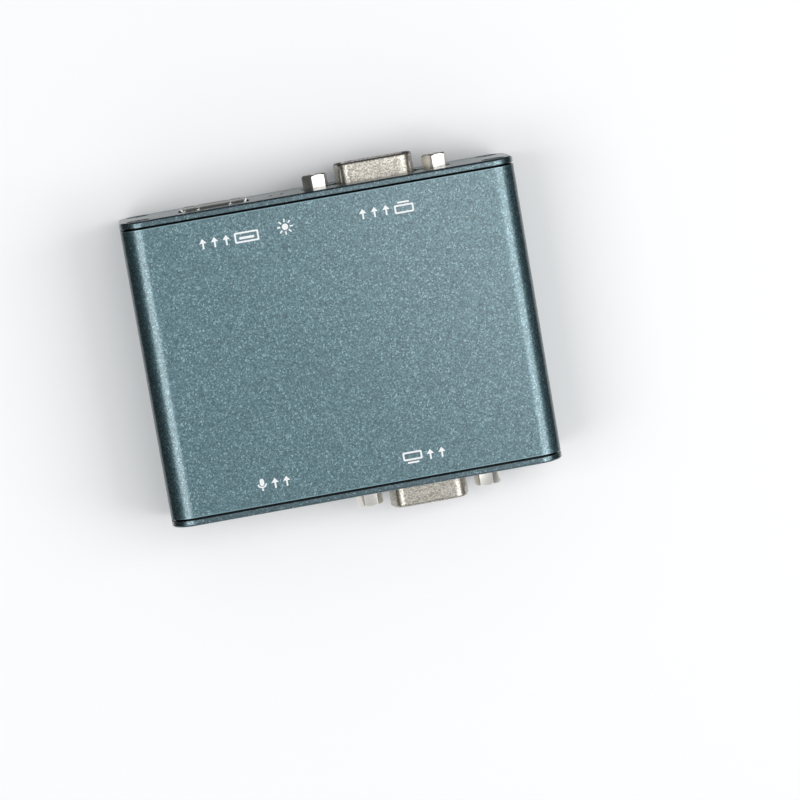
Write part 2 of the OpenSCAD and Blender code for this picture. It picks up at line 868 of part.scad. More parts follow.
module video_out_insulator() {
    at_out_port()
        port_insulator();
}

module video_out_contacts() {
    at_out_port()
        port_contacts();
}

module video_out_jackscrews() {
    at_out_port()
        port_jackscrews(out_jack_turns);
}

module video_in_shell() {
    at_in_port()
        port_shell();
}

module video_in_bracket() {
    at_in_port()
        port_bracket();
}

module video_in_insulator() {
    at_in_port()
        port_insulator();
}

module video_in_contacts() {
    at_in_port()
        port_contacts();
}

module video_in_jackscrews() {
    at_in_port()
        port_jackscrews(in_jack_turns);
}

// One flared lip along x, its foot on the plane z = half
module flared_lip(w, half) {
    rotate([90, 0, 90])
        linear_extrude(w, center = true)
            polygon([[flare_y - data_sheet_t, half - data_sheet_t], [flare_y, half - data_sheet_t],
                [data_front, half - data_sheet_t + flare_out], [data_front, half + flare_out],
                [flare_y, half], [flare_y - data_sheet_t, half]]);
}

// Folded shell, open at the mouth, with flared lips and two board legs
module data_port_shell() {
    color(nickel)
        at_rear(data_x)
            translate([0, 0, data_rise]) {
                along(-data_l, flare_y)
                    difference() {
                        rounded_rect(data_w, data_h, data_r);
                        rounded_rect(data_w - 2 * data_sheet_t, data_h - 2 * data_sheet_t,
                            data_r - data_sheet_t);
                    }
                for (turn = [0, 180])
                    rotate([0, turn, 0]) {
                        flared_lip(lip_mid_w, data_h / 2);
                        for (x = [-1, 1])
                            translate([x * (data_w / 2 - data_r - lip_end_w / 2), 0, 0])
                                flared_lip(lip_end_w, data_h / 2);
                        rotate([0, 90, 0])
                            flared_lip(lip_side_w, data_w / 2);
                    }
                for (x = [-1, 1])
                    translate([x * (data_w - data_sheet_t) / 2, -data_l / 2, -data_leg_l / 2])
                        cube([data_sheet_t, data_leg_w, data_leg_l], center = true);
            }
}

module data_port_housing() {
    color(black)
        at_rear(data_x)
            difference() {
                union() {
                    translate([0, 0, data_rise])
                        along(-data_l, data_block_front)
                            rounded_rect(data_w - 2 * (data_sheet_t + port_fit),
                                data_h - 2 * (data_sheet_t + port_fit), data_r - data_sheet_t);
                    translate([-tongue_w / 2, data_block_front, tongue_z])
                        cube([tongue_w, data_front - tongue_set - data_block_front, tongue_t]);
                }
                for (x = data_contact_x)
                    translate([x - data_contact_w / 2 - port_fit, -data_l - through, tongue_z - through])
                        cube([data_contact_w + 2 * port_fit,
                            data_l + data_contact_front + 2 * port_fit + through,
                            data_contact_t + port_fit + through]);
            }
}

module data_port_contacts() {
    color(gold)
        at_rear(data_x)
            for (x = data_contact_x)
                translate([x - data_contact_w / 2, 0, 0]) {
                    translate([0, data_tail_y - data_contact_t / 2, tongue_z])
                        cube([data_contact_w, data_contact_front - data_tail_y, data_contact_t]);
                    translate([0, data_tail_y - data_contact_t / 2, -board_t - tail_reach])
                        cube([data_contact_w, data_contact_t,
                            tongue_z + board_t + tail_reach + data_contact_t]);
                }
}

// Moulded body with a nose in the end plate and a slot for each spring
module mic_jack_body() {
    color(black)
        at_front(mic_x)
            difference() {
                union() {
                    translate([-mic_w / 2, -mic_l, 0])
                        cube([mic_w, mic_l, mic_h]);
                    translate([0, 0, mic_rise])
                        bar(-mic_l, mic_front, mic_nose_d);
                }
                translate([0, 0, mic_rise])
                    bar(mic_front - mic_bore_l, mic_front + through, mic_bore);
                for (at = spring_at)
                    translate([at[0] * (spring_x + spring_t / 2), at[1], (mic_rise + spring_reach) / 2])
                        cube([spring_t + 2 * spring_clear, spring_w + 2 * spring_clear,
                            mic_rise + spring_reach + 2 * spring_clear], center = true);
            }
}

module mic_jack_springs() {
    color(tin)
        at_front(mic_x)
            for (at = spring_at)
                translate([at[0] * (spring_x + spring_t / 2), at[1], 0]) {
                    translate([-spring_t / 2, -spring_w / 2, 0])
                        cube([spring_t, spring_w, mic_rise + spring_reach]);
                    translate([-spring_t / 2, -spring_w / 4, -board_t - tail_reach])
                        cube([spring_t, spring_w / 2, board_t + tail_reach]);
                }
}

module lamp_lens() {
    color([0.85, 0.9, 0.88])
        at_rear(lamp_x)
            translate([0, 0, lamp_rise]) {
                bar(-lamp_rim_set - lamp_rim_t, -lamp_rim_set, lamp_rim_d);
                bar(-lamp_rim_set, lamp_tip - lamp_d / 2, lamp_d);
                translate([0, lamp_tip - lamp_d / 2, 0])
                    sphere(d = lamp_d);
            }
}

module lamp_leads() {
    color(tin)
        at_rear(lamp_x)
            for (x = [-1, 1])
                translate([x * lead_pitch / 2, 0, 0]) {
                    translate([0, 0, lamp_rise])
                        bar(lead_y, -lamp_rim_set - lamp_rim_t, lead_d);
                    translate([0, lead_y, lamp_rise])
                        sphere(d = lead_d);
                    translate([0, lead_y, -board_t - tail_reach])
                        cylinder(h = lamp_rise + board_t + tail_reach, d = lead_d);
                }
}

// Bent lead that leaves a body's side at x = 0 and ends flat on the board
module chip_lead(w, h) {
    rotate([90, 0, 0])
        linear_extrude(w, center = true)
            polygon([[0, h / 2], [0.3 * chip_lead_l, h / 2], [0.5 * chip_lead_l, 0], [chip_lead_l, 0],
                [chip_lead_l, chip_lead_t], [0.6 * chip_lead_l, chip_lead_t],
                [0.4 * chip_lead_l, h / 2 + chip_lead_t], [0, h / 2 + chip_lead_t]]);
}

module video_chip() {
    color(black)
        on_board(video_chip_at)
            translate([0, 0, chip_standoff])
                linear_extrude(video_chip_h)
                    square(video_chip_w, center = true);
}

module video_chip_leads() {
    color(tin)
        on_board(video_chip_at)
            for (turn = [0, 90, 180, 270], i = [1:video_chip_pins])
                rotate([0, 0, turn])
                    translate([video_chip_w / 2, (i - (video_chip_pins + 1) / 2) * fine_pitch, 0])
                        chip_lead(fine_lead_w, video_chip_h);
}

module data_chip() {
    color(black)
        on_board(data_chip_at)
            linear_extrude(data_chip_h)
                square(data_chip_w, center = true);
}

module memory_chip() {
    color(black)
        on_board(memory_at)
            translate([0, 0, chip_standoff])
                linear_extrude(memory_h)
                    square([memory_w, memory_l], center = true);
}

module memory_chip_leads() {
    color(tin)
        on_board(memory_at)
            for (turn = [0, 180], i = [-1.5:1.5])
                rotate([0, 0, turn])
                    translate([memory_w / 2, i * coarse_pitch, 0])
                        chip_lead(coarse_lead_w, memory_h);
}

module crystals() {
    color(tin)
        for (at = crystal_at)
            on_board(at)
                linear_extrude(crystal_h)
                    rounded_rect(crystal_l, crystal_w, crystal_r);
}

module regulators() {
    color(black)
        for (share = regulator_row)
            on_board([-side_row, share])
                translate([0, 0, chip_standoff])
                    linear_extrude(regulator_h)
                        square([regulator_w, regulator_l], center = true);
}

module regulator_leads() {
    color(tin)
        for (share = regulator_row)
            on_board([-side_row, share]) {
                for (i = [-1, 0, 1])
                    translate([i * regulator_pitch, regulator_l / 2, 0])
                        rotate([0, 0, 90])
                            chip_lead(regulator_lead_w, regulator_h);
                translate([0, -regulator_l / 2, 0])
                    rotate([0, 0, -90])
                        chip_lead(regulator_tab_w, regulator_h);
            }
}

// Can with a groove rolled round its foot
module capacitor_cans() {
    color([0.8, 0.81, 0.82])
        for (share = capacitor_row)
            on_board([side_row, share])
                translate([0, 0, can_base_h])
                    difference() {
                        cylinder(h = can_h, d = can_d);
                        translate([0, 0, 2 * can_groove])
                            difference() {
                                cylinder(h = 2 * can_groove, d = can_d + through);
                                cylinder(h = 2 * can_groove, d = can_d - 2 * can_groove);
                            }
                    }
}

module capacitor_bases() {
    color(black)
        for (share = capacitor_row)
            on_board([side_row, share])
                linear_extrude(can_base_h)
                    square(can_base_w, center = true);
}

module inductors() {
    color([0.2, 0.2, 0.2])
        for (at = [[-side_row, inductor_row], inductor_at])
            on_board(at)
                difference() {
                    linear_extrude(inductor_h)
                        rounded_rect(inductor_w, inductor_w, inductor_r);
                    translate([0, 0, inductor_h - inductor_groove])
                        difference() {
                            cylinder(h = through, d = inductor_core_d + 2 * inductor_groove);
                            cylinder(h = through, d = inductor_core_d);
                        }
                }
}

module chip_passives() {
    color([0.55, 0.42, 0.3])
        for (at = passive_rows, i = [0:passive_count - 1])
            on_board(at)
                translate([(i - (passive_count - 1) / 2) * passive_pitch, 0, 0])
                    linear_extrude(passive_h)
                        square([passive_w, passive_l], center = true);
}

sleeve();
rear_plate();
front_plate();
rear_plate_screws();
front_plate_screws();
main_board();
video_out_shell();
video_out_bracket();
video_out_insulator();
video_out_contacts();
video_out_jackscrews();
video_in_shell();
video_in_bracket();
video_in_insulator();
video_in_contacts();
video_in_jackscrews();
data_port_shell();
data_port_housing();
data_port_contacts();
mic_jack_body();
mic_jack_springs();
lamp_lens();
lamp_leads();
video_chip();
video_chip_leads();
data_chip();
memory_chip();
memory_chip_leads();
crystals();
regulators();
regulator_leads();
capacitor_cans();
capacitor_bases();
inductors();
chip_passives();
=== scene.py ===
import math

import bmesh
import bpy
from mathutils import Matrix, Vector


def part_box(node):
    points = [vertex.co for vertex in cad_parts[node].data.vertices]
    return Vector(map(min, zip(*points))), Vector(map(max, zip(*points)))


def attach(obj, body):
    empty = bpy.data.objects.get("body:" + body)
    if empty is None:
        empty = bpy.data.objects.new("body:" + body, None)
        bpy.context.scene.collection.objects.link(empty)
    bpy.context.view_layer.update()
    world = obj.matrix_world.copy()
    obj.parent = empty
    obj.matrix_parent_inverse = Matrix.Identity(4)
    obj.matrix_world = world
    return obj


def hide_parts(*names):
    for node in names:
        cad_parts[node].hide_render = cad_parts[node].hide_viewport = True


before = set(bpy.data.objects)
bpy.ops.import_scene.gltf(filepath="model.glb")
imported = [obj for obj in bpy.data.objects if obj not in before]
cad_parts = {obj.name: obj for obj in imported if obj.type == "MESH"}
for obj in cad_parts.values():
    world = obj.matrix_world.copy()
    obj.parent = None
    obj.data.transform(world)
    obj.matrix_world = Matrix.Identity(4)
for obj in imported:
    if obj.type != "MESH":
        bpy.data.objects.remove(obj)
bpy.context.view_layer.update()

MM = 0.001


# Sleeve: a length of extruded aluminium tube, bead-blasted and dyed slate blue, sawn off square at both
# ends. The saw cuts are broken with a fine bevel. Its printed face lies one coat of ink below the CAD face,
# so that the ink on it stays within the CAD box.
INK_T = 0.02 * MM
SAW_BEVEL = 0.12 * MM
SLEEVE_R = 5 * MM
OUTLINE_TOLERANCE = 0.1 * MM
PAINTED_HIGHLIGHT_W = 0.2 * MM
SAW_CUT_SET = 0.07 * MM
GROOVE_REACH = 1 * MM
WELD_WITHIN = 5e-7
TOUCH_WITHIN = 1e-6
FLAT_BELOW = math.radians(0.4)
SMOOTH_BELOW = math.radians(24)
CORNER_ABOVE = math.radians(35)
COAT_ROUGHNESS = 0.22
COAT_IOR = 1.8
SLATE_DARK = (0.026, 0.064, 0.076, 1)
SLATE_LIGHT = (0.148, 0.264, 0.300, 1)
SLATE_GLINT = (0.260, 0.400, 0.440, 1)
SLATE_PAINTED_HIGHLIGHT = (0.175, 0.300, 0.338, 1)
GROOVE_PAINTED_SHADE = (0.003, 0.004, 0.005, 1)


def merged_mesh(node):
    """A CAD node's loose triangles, joined up into a mesh of flat faces that can be edited."""
    bm = bmesh.new()
    bm.from_mesh(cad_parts[node].data)
    bmesh.ops.remove_doubles(bm, verts=bm.verts, dist=WELD_WITHIN)
    bmesh.ops.dissolve_limit(bm, angle_limit=FLAT_BELOW, verts=bm.verts, edges=bm.edges)
    return bm


def sharp_edges(bm, keep=lambda edge: True, angle=CORNER_ABOVE):
    """The corners of a mesh, those of them that keep() wants."""
    return [e for e in bm.edges if len(e.link_faces) == 2 and e.calc_face_angle(0) > angle and keep(e)]


def bevel(bm, edges, width, segments=2):
    bmesh.ops.bevel(bm, geom=edges, offset=width, offset_type="OFFSET", segments=segments, profile=0.5,
                    affect="EDGES", clamp_overlap=True)


def add_piece(mesh, name, replaced):
    """Makes a finished mesh a piece of the object, in place of the CAD nodes that it dresses."""
    mesh.shade_smooth()
    mesh.set_sharp_from_angle(angle=SMOOTH_BELOW)
    piece = bpy.data.objects.new(name, mesh)
    bpy.context.scene.collection.objects.link(piece)
    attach(piece, "root")
    if replaced:
        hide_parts(*replaced)


def piece_from(bm, name, material, replaced=()):
    """Closes an edited mesh into a piece of one material."""
    mesh = bpy.data.meshes.new(name)
    bm.to_mesh(mesh)
    bm.free()
    mesh.materials.append(material)
    add_piece(mesh, name, replaced)


def new_material(name):
    material = bpy.data.materials.new(name)
    material.use_nodes = True
    return material, material.node_tree, material.node_tree.nodes["Principled BSDF"]


def add_node(tree, kind, **settings):
    """A node with its plain properties and its inputs set by name."""
    node = tree.nodes.new(kind)
    for key, value in settings.items():
        if key in node.bl_rna.properties:
            setattr(node, key, value)
        else:
            node.inputs[key.replace("_", " ")].default_value = value
    return node


def shader_group(name, inputs, outputs):
    """An empty group of shader nodes with its sockets, and the nodes that stand for them inside."""
    tree = bpy.data.node_groups.new(name, "ShaderNodeTree")
    for label, value in inputs.items():
        socket = tree.interface.new_socket(label, in_out="INPUT", socket_type="NodeSocketFloat")
        socket.default_value = value
    for label in outputs:
        tree.interface.new_socket(label, in_out="OUTPUT", socket_type="NodeSocketFloat")
    return tree, tree.nodes.new("NodeGroupInput"), tree.nodes.new("NodeGroupOutput")


def grain_group():
    """Dimples of a blasted or cast surface: a tone that jumps between them, rare glints, and their height."""
    tree, given, result = shader_group("surface grain", {"Dimple size": 0.3 * MM, "Clouding": 0.4},
                                       ["Tone", "Glint", "Height"])
    place = add_node(tree, "ShaderNodeTexCoord")
    per_metre = add_node(tree, "ShaderNodeMath", operation="DIVIDE")
    per_metre.inputs[0].default_value = 1
    dimples = add_node(tree, "ShaderNodeTexVoronoi", feature="F1")
    clouds = add_node(tree, "ShaderNodeTexNoise", Detail=3.0, Roughness=0.65)
    coarser = add_node(tree, "ShaderNodeMath", operation="MULTIPLY")
    coarser.inputs[1].default_value = 0.45
    jump = add_node(tree, "ShaderNodeSeparateColor")
    blend = add_node(tree, "ShaderNodeMix", data_type="FLOAT")
    rare = add_node(tree, "ShaderNodeMapRange", From_Min=0.88, From_Max=0.97)
    link = tree.links.new
    link(given.outputs["Dimple size"], per_metre.inputs[1])
    link(place.outputs["Object"], dimples.inputs["Vector"])
    link(place.outputs["Object"], clouds.inputs["Vector"])
    link(per_metre.outputs[0], dimples.inputs["Scale"])
    link(per_metre.outputs[0], coarser.inputs[0])
    link(coarser.outputs[0], clouds.inputs["Scale"])
    link(dimples.outputs["Color"], jump.inputs[0])
    link(given.outputs["Clouding"], blend.inputs["Factor"])
    link(jump.outputs[0], blend.inputs["A"])
    link(clouds.outputs[0], blend.inputs["B"])
    link(jump.outputs[1], rare.inputs["Value"])
    link(blend.outputs["Result"], result.inputs["Tone"])
    link(rare.outputs["Result"], result.inputs["Glint"])
    link(dimples.outputs["Distance"], result.inputs["Height"])
    return tree


SURFACE_GRAIN = grain_group()


def tinted(tree, mask, below, above):
    """A colour, or a socket that gives one, that turns into another where the mask says so."""
    mix = add_node(tree, "ShaderNodeMix", data_type="RGBA")
    tree.links.new(mask, mix.inputs["Factor"])
    for label, colour in (("A", below), ("B", above)):
        if isinstance(colour, tuple):
            mix.inputs[label].default_value = colour
        else:
            tree.links.new(colour, mix.inputs[label])
    return mix.outputs["Result"]


def end_band(tree, start, end):
    """A mask of the two bands that lie between two distances from the middle of the case along Y."""
    place = add_node(tree, "ShaderNodeTexCoord")
    axes = add_node(tree, "ShaderNodeSeparateXYZ")
    reach = add_node(tree, "ShaderNodeMath", operation="ABSOLUTE")
    inside = add_node(tree, "ShaderNodeMath", operation="COMPARE")
    inside.inputs[1].default_value = (start + end) / 2
    inside.inputs[2].default_value = (end - start) / 2
    tree.links.new(place.outputs["Object"], axes.inputs[0])
    tree.links.new(axes.outputs["Y"], reach.inputs[0])
    tree.links.new(reach.outputs[0], inside.inputs[0])
    return inside.outputs[0]


def grained(name, dark, light, dimple, rough, bump, metallic=1.0, clouding=0.4, coat=0.0, glint=None,
            bands=(), rim=(1, 1, 1, 1)):
    """A finish whose colour, gloss and relief follow the grain, with bands near the ends painted in other
    colours; here they carry painted highlight and painted shade.
    """
    material, tree, shader = new_material(name)
    link = tree.links.new
    grain = add_node(tree, "ShaderNodeGroup", node_tree=SURFACE_GRAIN)
    grain.inputs["Dimple size"].default_value = dimple
    grain.inputs["Clouding"].default_value = clouding
    colour = tinted(tree, grain.outputs["Tone"], dark, light)
    if glint:
        colour = tinted(tree, grain.outputs["Glint"], colour, glint)
    for start, end, shade in bands:
        colour = tinted(tree, end_band(tree, start, end), colour, shade)
    gloss = add_node(tree, "ShaderNodeMapRange", To_Min=rough[0], To_Max=rough[1])
    relief = add_node(tree, "ShaderNodeBump", Strength=bump, Distance=0.2 * dimple)
    link(grain.outputs["Tone"], gloss.inputs["Value"])
    link(grain.outputs["Height"], relief.inputs["Height"])
    link(colour, shader.inputs["Base Color"])
    link(gloss.outputs["Result"], shader.inputs["Roughness"])
    link(relief.outputs["Normal"], shader.inputs["Normal"])
    shader.inputs["Metallic"].default_value = metallic
    shader.inputs["Coat Weight"].default_value = coat
    shader.inputs["Coat Roughness"].default_value = COAT_ROUGHNESS
    shader.inputs["Coat IOR"].default_value = COAT_IOR
    shader.inputs["Specular Tint"].default_value = rim
    return material


sleeve_low, sleeve_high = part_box("sleeve")
saw_cut = sleeve_high.y - SAW_CUT_SET
# Along each saw cut a pale band is painted highlight, for the light that the bevel catches. From the cut
# outwards, over the bevel's outer half and the end face, the colour is near-black painted shade, for the
# darkness of the groove.
blasted_slate = grained("blasted_slate", SLATE_DARK, SLATE_LIGHT, dimple=0.23 * MM, rough=(0.48, 0.36),
                        bump=0.3, metallic=0.92, clouding=0.25, coat=0.8, glint=SLATE_GLINT,
                        rim=(0.12, 0.13, 0.14, 1),
                        bands=((saw_cut - PAINTED_HIGHLIGHT_W, saw_cut, SLATE_PAINTED_HIGHLIGHT),
                               (saw_cut, saw_cut + GROOVE_REACH, GROOVE_PAINTED_SHADE)))


def on_saw_cut(edge):
    """True for the outer outline of the sleeve's two ends."""
    half = (sleeve_high - sleeve_low) / 2
    for vert in edge.verts:
        across = max(abs(vert.co.x) - half.x + SLEEVE_R, 0)
        upward = max(abs(vert.co.z - half.z) - half.z + SLEEVE_R, 0)
        inside = math.hypot(across, upward) < SLEEVE_R - OUTLINE_TOLERANCE
        if inside or abs(vert.co.y) < half.y - TOUCH_WITHIN:
            return False
    return True


sleeve_mesh = merged_mesh("sleeve")
for vert in sleeve_mesh.verts:
    if vert.co.z > sleeve_high.z - TOUCH_WITHIN:
        vert.co.z -= INK_T
bevel(sleeve_mesh, sharp_edges(sleeve_mesh, on_saw_cut), SAW_BEVEL)
piece_from(sleeve_mesh, "sleeve_tube", blasted_slate, ["sleeve"])


# Print: white pictograms screen-printed on the top face, one by each socket, in place of words.
# Each shows what the socket carries, and its arrows point out of the case or into it.
INK_STROKE = 0.36
INK_DETAIL = 24
LEGENDS = (
    ("data", (-19.3, 24.9), "out", 3),
    ("lamp", (-7.7, 25.5), None, 0),
    ("screen", (13.2, 25.3), "out", 3),
    ("microphone", (-18.9, -25.7), "in", 2),
    ("screen", (12.4, -25.5), "in", 2),
)
ARROW_STEP = 2.4
ARROW_LEAD = 0.7
ARROW_TIP = 1.05
ARROW_WING = 0.75
ARROW_NECK = 0.1
FRAME_R = 0.3
FRAME_INNER_R = 0.12
DATA_W = 5
DATA_H = 2.2
SCREEN_W = 4
SCREEN_H = 1.8
SCREEN_LIFT = 0.3
CRADLE_W = 2
CRADLE_R = 1.0
CRADLE_LIFT = 0.35
BULB_R = 0.65
RAYS = 8
white_ink = grained("white_ink", (0.72, 0.74, 0.75, 1), (0.93, 0.94, 0.94, 1), dimple=0.18 * MM,
                    rough=(0.6, 0.5), bump=0.2, metallic=0.0)
print_mesh = bmesh.new()


def lay_ink(place, outer, holes=()):
    """One closed outline in millimetres, less its holes, as a coat of ink with a lower and an upper skin."""
    for lift in (-2 * INK_T, 0):
        edges = []
        for ring in (outer, *holes):
            verts = [print_mesh.verts.new(place @ Vector((x * MM, y * MM, lift))) for x, y in ring]
            edges += [print_mesh.edges.new(pair) for pair in zip(verts, verts[1:] + verts[:1])]
        bmesh.ops.triangle_fill(print_mesh, edges=edges, use_beauty=True)
        if lift < 0:
            lower = edges
    for below, above in zip(lower, edges):
        a, b = below.verts
        c, d = above.verts
        print_mesh.faces.new((a, b, d, c))


def arc(x, y, radius, start, end):
    """Points of an arc, from one angle to the other in degrees."""
    steps = max(3, round(INK_DETAIL * abs(end - start) / 360))
    angles = [math.radians(start + (end - start) * i / steps) for i in range(steps + 1)]
    return [(x + radius * math.cos(a), y + radius * math.sin(a)) for a in angles]


def ring_outline(x, y, radius):
    return arc(x, y, radius, 0, 360)[:-1]


def rounded_outline(x, y, width, height, radius):
    """A rectangle with round corners about a middle point."""
    dx, dy = width / 2 - radius, height / 2 - radius
    return (arc(x + dx, y + dy, radius, 0, 90) + arc(x - dx, y + dy, radius, 90, 180)
            + arc(x - dx, y - dy, radius, 180, 270) + arc(x + dx, y - dy, radius, 270, 360))


def bar_outline(x, y, width, height):
    return rounded_outline(x, y, width, height, min(width, height) * 0.3)


def lay_frame(place, y, width, height):
    """A rectangular frame, one stroke wide."""
    lay_ink(place, rounded_outline(0, y, width, height, FRAME_R),
            [rounded_outline(0, y, width - 2 * INK_STROKE, height - 2 * INK_STROKE, FRAME_INNER_R)])


def data_mark(place):
    """A flat socket with its tongue."""
    lay_frame(place, 0, DATA_W, DATA_H)
    lay_ink(place, bar_outline(0, 0.15, 3.1, 0.5))


def screen_mark(place):
    """A screen on its foot."""
    lay_frame(place, SCREEN_LIFT, SCREEN_W, SCREEN_H)
    lay_ink(place, bar_outline(0, -1.05, 2.4, INK_STROKE))


def microphone_mark(place):
    """A capsule in its cradle, on a stem."""
    lay_ink(place, rounded_outline(0, 0.55, 0.9, 1.5, 0.44))
    lay_ink(place, arc(0, CRADLE_LIFT, CRADLE_R, 190, 350)
            + arc(0, CRADLE_LIFT, CRADLE_R - INK_STROKE * 0.8, 350, 190))
    lay_ink(place, bar_outline(0, -0.95, INK_STROKE, 0.5))


def lamp_mark(place):
    """A round lamp with its rays."""
    lay_ink(place, ring_outline(0, 0, BULB_R))
    for i in range(RAYS):
        ray = place @ Matrix.Rotation(i * math.tau / RAYS, 4, "Z")
        lay_ink(ray, bar_outline(1.3, 0, 0.7, 0.3))


def arrow(place, x, up):
    """One arrow, its tip up or down."""
    half = INK_STROKE / 2
    outline = [(-half, -ARROW_TIP), (half, -ARROW_TIP), (half, ARROW_NECK), (ARROW_WING, ARROW_NECK),
               (0, ARROW_TIP), (-ARROW_WING, ARROW_NECK), (-half, ARROW_NECK)]
    lay_ink(place, [(x + px, py * up) for px, py in outline])


MARKS = {"data": (data_mark, DATA_W), "screen": (screen_mark, SCREEN_W),
         "microphone": (microphone_mark, CRADLE_W), "lamp": (lamp_mark, 0)}
for mark, (x, y), flow, arrows in LEGENDS:
    draw, width = MARKS[mark]
    turned = math.pi if y > 0 else 0
    place = Matrix.Translation((x * MM, y * MM, sleeve_high.z)) @ Matrix.Rotation(turned, 4, "Z")
    start = -(width + ARROW_STEP * arrows) / 2
    draw(place @ Matrix.Translation(((start + width / 2) * MM, 0, 0)))
    for i in range(arrows):
        arrow(place, start + width + ARROW_STEP * (i + ARROW_LEAD), -1 if flow == "out" else 1)
bmesh.ops.recalc_face_normals(print_mesh, faces=print_mesh.faces)
piece_from(print_mesh, "printed_marks", white_ink)


# End plates: two milled aluminium plates, blasted and dyed like the sleeve but a shade darker.
# Each is cut out for its sockets, chamfered all round and held by four screws.
PLATE_BEVEL = 0.06 * MM
GROOVE_W = 0.35 * MM
GROOVE_OVER = 0.01 * MM
# The plate's step next to the sleeve, which lies in the groove, is painted near-black shade.
plate_slate = grained("plate_slate", (0.034, 0.066, 0.078, 1), (0.118, 0.190, 0.215, 1), dimple=0.22 * MM,
                      rough=(0.36, 0.26), bump=0.3, metallic=0.9, clouding=0.3, coat=0.45,
                      glint=(0.240, 0.345, 0.385, 1),
                      bands=((sleeve_high.y - GROOVE_REACH, sleeve_high.y + GROOVE_W + GROOVE_OVER,
                              GROOVE_PAINTED_SHADE),))
for node in ("rear_plate", "front_plate"):
    plate_mesh = merged_mesh(node)
    bevel(plate_mesh, sharp_edges(plate_mesh), PLATE_BEVEL, segments=1)
    piece_from(plate_mesh, node + "_milled", plate_slate, [node])


# Plate screws: eight black steel countersunk screws with a cross recess, four at each end.
# They are driven through the plates into the sleeve's screw channels, just below the face.
SCREW_SIZES = {"Head diameter": 4.4 * MM, "Head height": 0.9 * MM, "Recess length": 2.5 * MM,
               "Recess width": 0.75 * MM, "Recess depth": 0.5 * MM, "Shank diameter": 2.6 * MM,
               "Shank length": 6 * MM}
HEAD_SIDES = 48
SHANK_SIDES = 32
SCREW_INSET = 4 * MM
SCREW_SINK = 0.15 * MM
black_zinc = grained("black_zinc", (0.010, 0.010, 0.012, 1), (0.045, 0.046, 0.050, 1), dimple=0.12 * MM,
                     rough=(0.48, 0.3), bump=0.15, metallic=0.8)


def geometry_group(name, sizes):
    """An empty tree of geometry nodes with named sizes, and the nodes that stand for its two ends."""
    tree = bpy.data.node_groups.new(name, "GeometryNodeTree")
    tree.interface.new_socket("Places", in_out="INPUT", socket_type="NodeSocketGeometry")
    for label, value in sizes.items():
        kind = "NodeSocketVector" if isinstance(value, tuple) else "NodeSocketFloat"
        tree.interface.new_socket(label, in_out="INPUT", socket_type=kind).default_value = value
    tree.interface.new_socket("Pieces", in_out="OUTPUT", socket_type="NodeSocketGeometry")
    return tree, tree.nodes.new("NodeGroupInput"), tree.nodes.new("NodeGroupOutput")


def math_node(tree, operation, first, second):
    """One step of arithmetic on two sockets or plain numbers."""
    node = add_node(tree, "ShaderNodeMath", operation=operation)
    for socket, value in zip(node.inputs, (first, second)):
        if isinstance(value, (int, float)):
            socket.default_value = value
        else:
            tree.links.new(value, socket)
    return node.outputs[0]


def lifted(tree, mesh, height):
    """A mesh moved up by a height."""
    move = add_node(tree, "GeometryNodeTransform")
    up = add_node(tree, "ShaderNodeCombineXYZ")
    tree.links.new(height, up.inputs["Z"])
    tree.links.new(mesh, move.inputs["Geometry"])
    tree.links.new(up.outputs[0], move.inputs["Translation"])
    return move.outputs[0]


def set_out(tree, shape, given, result, material):
    """Stands one copy of a shape on each place, turned as asked, and makes them plain mesh."""
    copies = add_node(tree, "GeometryNodeInstanceOnPoints")
    plain = add_node(tree, "GeometryNodeRealizeInstances")
    finish = add_node(tree, "GeometryNodeSetMaterial")
    finish.inputs["Material"].default_value = material
    link = tree.links.new
    link(given.outputs["Places"], copies.inputs["Points"])
    link(shape, copies.inputs["Instance"])
    link(given.outputs["Turn"], copies.inputs["Rotation"])
    link(copies.outputs[0], plain.inputs[0])
    link(plain.outputs[0], finish.inputs["Geometry"])
    link(finish.outputs[0], result.inputs[0])


def screw_tree():
    """A countersunk head with a crossed recess, on a plain shank."""
    tree, given, result = geometry_group("plate screws", {**SCREW_SIZES, "Turn": (0.0, 0.0, 0.0)})
    size = given.outputs
    link = tree.links.new
    shank_r = math_node(tree, "MULTIPLY", size["Shank diameter"], 0.5)
    head = add_node(tree, "GeometryNodeMeshCone", Vertices=HEAD_SIDES)
    link(math_node(tree, "MULTIPLY", size["Head diameter"], 0.5), head.inputs["Radius Top"])
    link(shank_r, head.inputs["Radius Bottom"])
    link(size["Head height"], head.inputs["Depth"])
    cut = add_node(tree, "GeometryNodeMeshBoolean", operation="DIFFERENCE", solver="EXACT")
    link(lifted(tree, head.outputs[0], math_node(tree, "MULTIPLY", size["Head height"], -1)), cut.inputs[0])
    for along, across in (("Recess length", "Recess width"), ("Recess width", "Recess length")):
        arm = add_node(tree, "GeometryNodeMeshCube")
        arm_size = add_node(tree, "ShaderNodeCombineXYZ")
        link(size[along], arm_size.inputs["X"])
        link(size[across], arm_size.inputs["Y"])
        link(math_node(tree, "MULTIPLY", size["Recess depth"], 2), arm_size.inputs["Z"])
        link(arm_size.outputs[0], arm.inputs["Size"])
        link(arm.outputs[0], cut.inputs[1])
    shank = add_node(tree, "GeometryNodeMeshCylinder", Vertices=SHANK_SIDES)
    link(shank_r, shank.inputs["Radius"])
    link(size["Shank length"], shank.inputs["Depth"])
    drop = math_node(tree, "MULTIPLY_ADD", size["Shank length"], -0.5)
    link(math_node(tree, "MULTIPLY", size["Head height"], -1), drop.node.inputs[2])
    whole = add_node(tree, "GeometryNodeJoinGeometry")
    link(cut.outputs[0], whole.inputs[0])
    link(lifted(tree, shank.outputs[0], drop), whole.inputs[0])
    set_out(tree, whole.outputs[0], given, result, black_zinc)
    return tree


